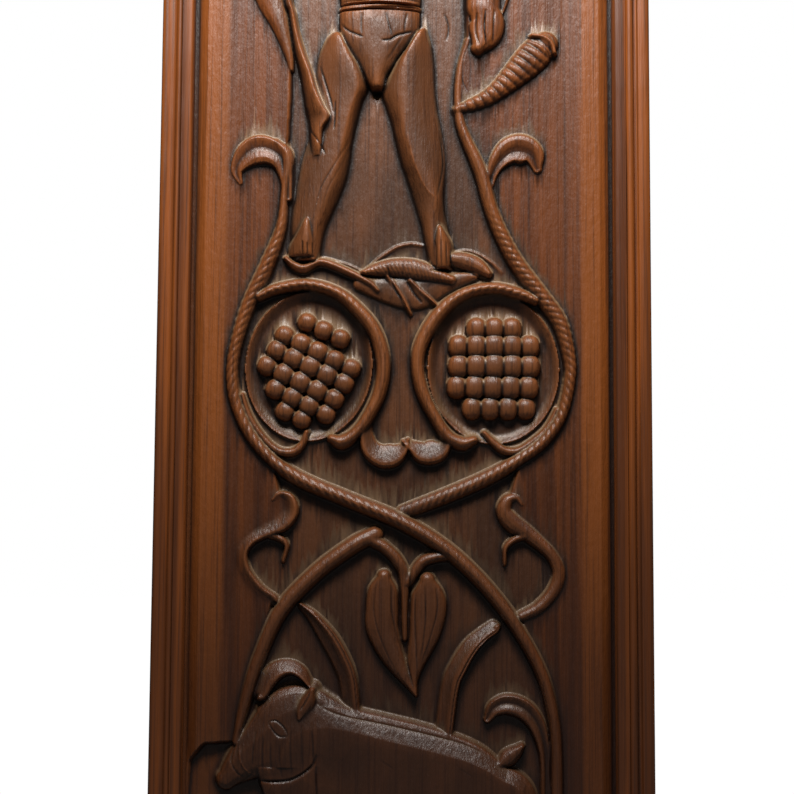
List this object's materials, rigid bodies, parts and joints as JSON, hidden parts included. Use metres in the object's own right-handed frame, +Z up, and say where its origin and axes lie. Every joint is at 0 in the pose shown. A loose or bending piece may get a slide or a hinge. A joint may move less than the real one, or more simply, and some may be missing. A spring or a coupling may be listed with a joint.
{
  "type": "carved wall panel",
  "caption": "Tall stained-softwood wall panel carved in relief with a standing figure, vines, grapes and a horse, between two moulded stiles.",
  "frame": {"origin": "middle of the flat back of the carved board, where the panel meets the wall", "axes": "+Z up along the panel's length, +Y back into the wall, +X to the viewer's right"},
  "size_m": [0.305, 0.03, 0.5],
  "materials": {
    "carved_wood": "dark brown stain, waxed, rubbed orange on the ridges",
    "stile_wood": "brown stain, waxed, worn edges"
  },
  "bodies": {
    "root": {"carved_panel": "carved_wood", "left_stile": "stile_wood", "right_stile": "stile_wood"}
  },
  "joints": []
}
